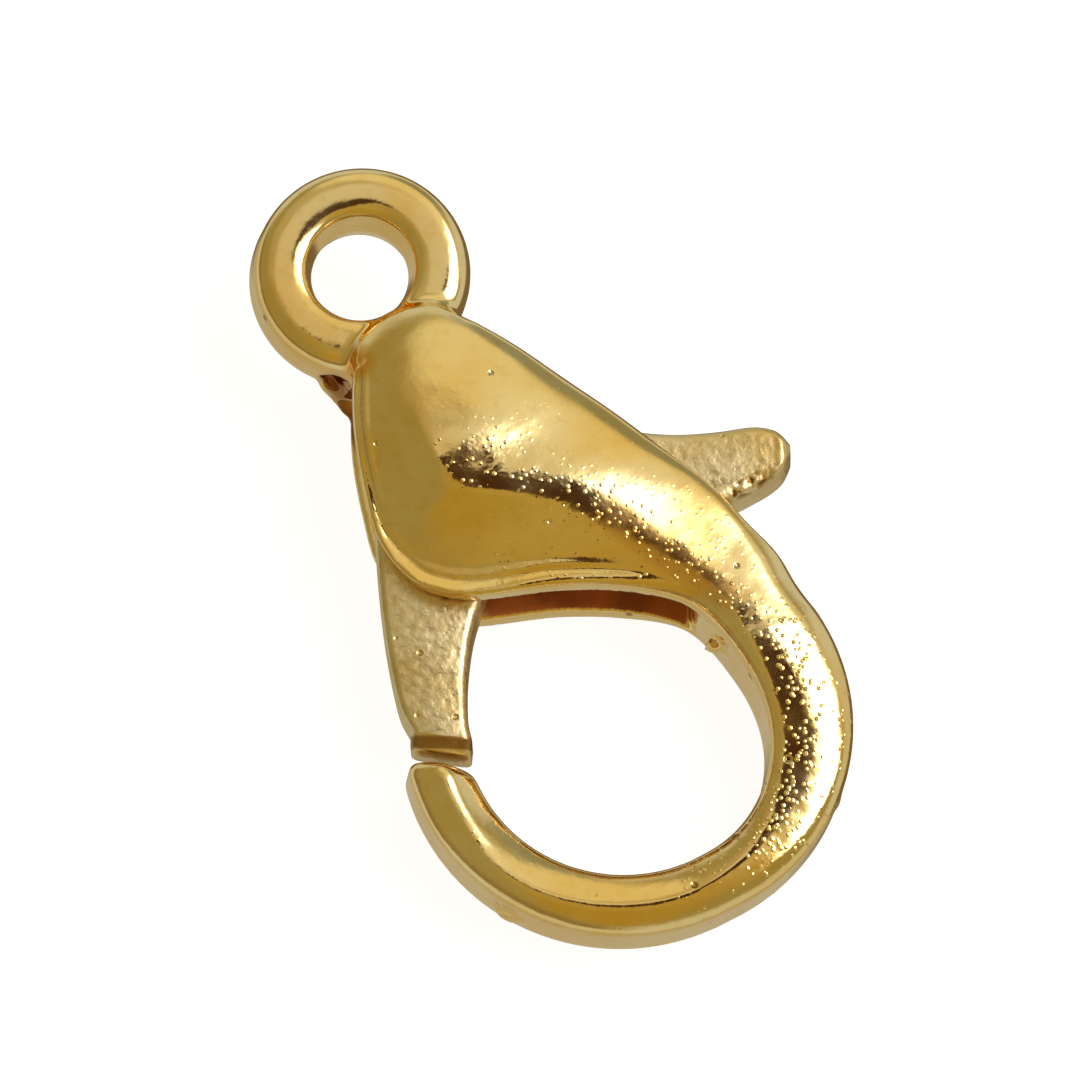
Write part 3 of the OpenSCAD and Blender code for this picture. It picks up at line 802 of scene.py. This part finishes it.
def towards(direction, inner_deg, outer_deg):
    """One in a direction, falling to nothing between two angles off it."""
    return ramp(tree, dot(direction), math.cos(math.radians(outer_deg)), math.cos(math.radians(inner_deg)))


def panel(centre, side, half_side, half_up, soft):
    """One on a rectangle round a direction, falling to nothing at its soft edge."""
    centre = Vector(centre).normalized()
    side = (Vector(side) - centre * centre.dot(Vector(side))).normalized()
    up = centre.cross(side)
    share = ramp(tree, dot(centre), 0.0, 0.2)
    for axis, half in ((side, half_side), (up, half_up)):
        share = times(tree, share, fade(tree, absolute(tree, dot(axis)), half - soft, half + soft))
    return share


def over(below, colour, share):
    """Lays one light over what is there already."""
    layer = add_node(tree, "Mix", {"Factor": share, "A": below, "B": (*colour, 1)}, data_type="RGBA")
    layer.clamp_result = False
    return layer.outputs["Result"]


# The tent's walls: what lies low, then the wall from the sheet up, a shadow low on the left, and the upper wall
height = dot((0, 0, 1))
tent = over((0.2, 0.14, 0.07, 1), (0.5, 0.45, 0.31), ramp(tree, dot((-0.8, -0.6, 0)), -0.26, -0.12))
tent = over(tent, (0.62, 0.63, 0.55), ramp(tree, height, -0.6, -0.35))
low_left = times(tree, ramp(tree, height, -0.12, 0.02), ramp(tree, dot((-0.99, 0.1, 0)), 0.2, 0.6))
tent = over(tent, (0.27, 0.21, 0.09), low_left)
tent = over(tent, (0.35, 0.30, 0.12), ramp(tree, height, 0.1, 0.4))
# Soft round patches of the roof: colour, direction, and the two angles between which they fade
PATCHES = [
    [(0.46, 0.34, 0.09), (-0.05, -0.35, 0.93), 12, 35],
    [(0.42, 0.30, 0.06), (-0.42, -0.62, 0.66), 12, 32],
    [(0.50, 0.42, 0.22), (0.3, 0.45, 0.85), 10, 36],
    [(0.78, 0.70, 0.42), (0.48, 0.63, 0.61), 14, 26],
    [(0.30, 0.31, 0.22), (0.80, 0.58, 0.12), 10, 22],
    [(0.64, 0.64, 0.56), (0.97, -0.05, 0.2), 10, 24],
    [(0.66, 0.60, 0.42), (0.13, 0.25, 0.96), 4, 11],
]
for colour, direction, inner_deg, outer_deg in PATCHES:
    tent = over(tent, colour, towards(direction, inner_deg, outer_deg))
# The window's glow, the window, and the dark panel: colour, direction, its side's direction, its two halves and edge
PANELS = [
    [(0.92, 0.88, 0.68), (0.6, 0.0, 0.8), (0, 1, 0), 0.36, 0.34, 0.16],
    [(4.5, 4.5, 4.5), (0.57, -0.19, 0.79), (-0.22, 0.97, 0), 0.38, 0.27, 0.06],
    [(0.06, 0.028, 0.01), (0.125, 0.035, 0.99), (1, 0, 0), 0.145, 0.155, 0.02],
]
for colour, *shape in PANELS:
    tent = over(tent, colour, panel(*shape))
background = add_node(tree, "Background", {"Color": tent})
add_node(tree, "OutputWorld", {"Surface": background.outputs["Background"]})

bpy.context.scene.view_settings.view_transform = "Standard"

# The camera looks down on the clasp's middle, leaning to the gate's side and to the hook, with the picture turned
LENS, SENSOR, CLIP_START = 400, 36, 0.001
PICTURE_WIDTH = 17.2 * MM
TURN_DEG = 30.3
LOOK_AT = (0.35, -5.2, 0)
LOOK_FROM = (-0.12006, -0.23981, 0.96337)
middle = rest_turn @ (Vector(LOOK_AT) * MM)
back = (rest_turn.to_3x3() @ Vector(LOOK_FROM)).normalized()
along = rest_turn.to_3x3() @ Vector((0, 1, 0))
on_screen = (along - back * along.dot(back)).normalized()
up = Matrix.Rotation(math.radians(-TURN_DEG), 3, back) @ on_screen
right = up.cross(back)
camera_data = bpy.data.cameras.new("camera")
camera_data.lens = LENS
camera_data.sensor_width = SENSOR
camera_data.clip_start = CLIP_START
camera = bpy.data.objects.new("camera", camera_data)
bpy.context.scene.collection.objects.link(camera)
distance = PICTURE_WIDTH * LENS / SENSOR
camera.matrix_world = Matrix.Translation(middle + back * distance) @ Matrix((right, up, back)).transposed().to_4x4()
bpy.context.scene.camera = camera

low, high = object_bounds()
